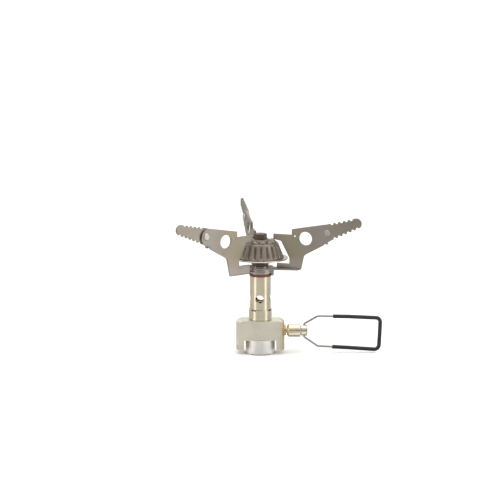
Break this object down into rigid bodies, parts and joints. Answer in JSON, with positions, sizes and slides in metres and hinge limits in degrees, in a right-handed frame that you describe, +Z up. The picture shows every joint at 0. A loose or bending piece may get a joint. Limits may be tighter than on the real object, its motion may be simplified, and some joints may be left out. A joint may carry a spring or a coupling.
{
  "type": "canister stove",
  "caption": "Screw-on canister gas stove: fluted burner on a slim mixing tube, valve body with a wire-handled knob, and folding pot supports with serrated flip-out arms.",
  "frame": {"origin": "on the stove's axis, in the plane of the valve body's jaws, which sit on the canister; the canister thread surrounds it", "axes": "+Z up the mixing tube to the pot, +X along the valve spindle to the knob, +Y away from the viewer of the front face"},
  "size_m": [0.1206, 0.1005, 0.0837],
  "materials": {
    "body_alloy": "satin champagne anodised",
    "collar_alloy": "satin, machined",
    "tube_alloy": "satin champagne gold anodised",
    "brass": "machined",
    "polished_brass": "polished",
    "steel": "bright stainless",
    "rivet_steel": "polished stainless",
    "titanium": "bare titanium, brushed, slightly heat-tinted",
    "burner_steel": "heat-darkened stainless",
    "bright_steel": "polished stainless",
    "red_washer": "red-brown fibre",
    "black_sleeve": "satin black sleeving",
    "seal_rubber": "matt black"
  },
  "bodies": {
    "stove": {"valve_body": "body_alloy", "threaded_collar": "collar_alloy", "inlet_o_ring": "seal_rubber", "depressor_pin": "steel", "inlet_filter": "brass", "valve_seat": "brass", "gland_nut": "brass", "gland_lock_pin": "steel", "jet_riser": "brass", "jet": "brass", "base_collar": "tube_alloy", "mixing_tube": "tube_alloy", "friction_washer": "red_washer", "spring_washer": "steel", "rear_support": "titanium", "rear_rivet": "rivet_steel", "top_washer": "steel", "burner_neck": "steel", "burner_dish": "bright_steel", "burner_cone": "burner_steel", "burner_crown": "burner_steel", "burner_baffle": "burner_steel", "cap_screw": "steel"},
    "right_leg": {"right_support": "titanium", "right_rivet": "rivet_steel"},
    "left_leg": {"left_support": "titanium", "left_rivet": "rivet_steel"},
    "right_arm": {"right_extension": "titanium"},
    "left_arm": {"left_extension": "titanium"},
    "rear_arm": {"rear_extension": "titanium"},
    "spindle_seal": {"spindle_o_ring": "seal_rubber"},
    "knob": {"valve_knob": "polished_brass", "valve_spindle": "steel"},
    "handle": {"wire_handle": "steel", "handle_sleeve": "black_sleeve"}
  },
  "joints": [
    {"name": "right_support_fold", "type": "hinge", "parent": "stove", "child": "right_leg", "pos_m": [0, 0, 0.0488], "axis": [0, 0, 1], "range_deg": [0, 98]},
    {"name": "left_support_fold", "type": "hinge", "parent": "stove", "child": "left_leg", "pos_m": [0, 0, 0.0466], "axis": [0, 0, -1], "range_deg": [0, 98]},
    {"name": "right_extension_fold", "type": "hinge", "parent": "right_leg", "child": "right_arm", "pos_m": [0.039, -0.01419, 0.0717], "axis": [-0.342, -0.9397, 0], "range_deg": [0, 178]},
    {"name": "left_extension_fold", "type": "hinge", "parent": "left_leg", "child": "left_arm", "pos_m": [-0.03248, -0.02583, 0.0717], "axis": [-0.6225, 0.7826, 0], "range_deg": [0, 178]},
    {"name": "rear_extension_fold", "type": "hinge", "parent": "stove", "child": "rear_arm", "pos_m": [-0.00721, 0.04087, 0.0717], "axis": [0.9848, 0.1736, 0], "range_deg": [0, 178]},
    {"name": "valve_travel", "type": "slide", "parent": "stove", "child": "spindle_seal", "axis": [1, 0, 0], "range_m": [0, 0.0014]},
    {"name": "valve_turn", "type": "hinge", "parent": "spindle_seal", "child": "knob", "pos_m": [0.02, 0, 0.0109], "axis": [1, 0, 0], "range_deg": [0, 720]},
    {"name": "handle_fold", "type": "hinge", "parent": "knob", "child": "handle", "pos_m": [0.0259, 0, 0.0109], "axis": [0, 0, 1], "range_deg": [-135, 135]}
  ],
  "couplings": [
    {"joint": "valve_travel", "follows": "valve_turn", "m_per_rad": 0.0001114}
  ]
}
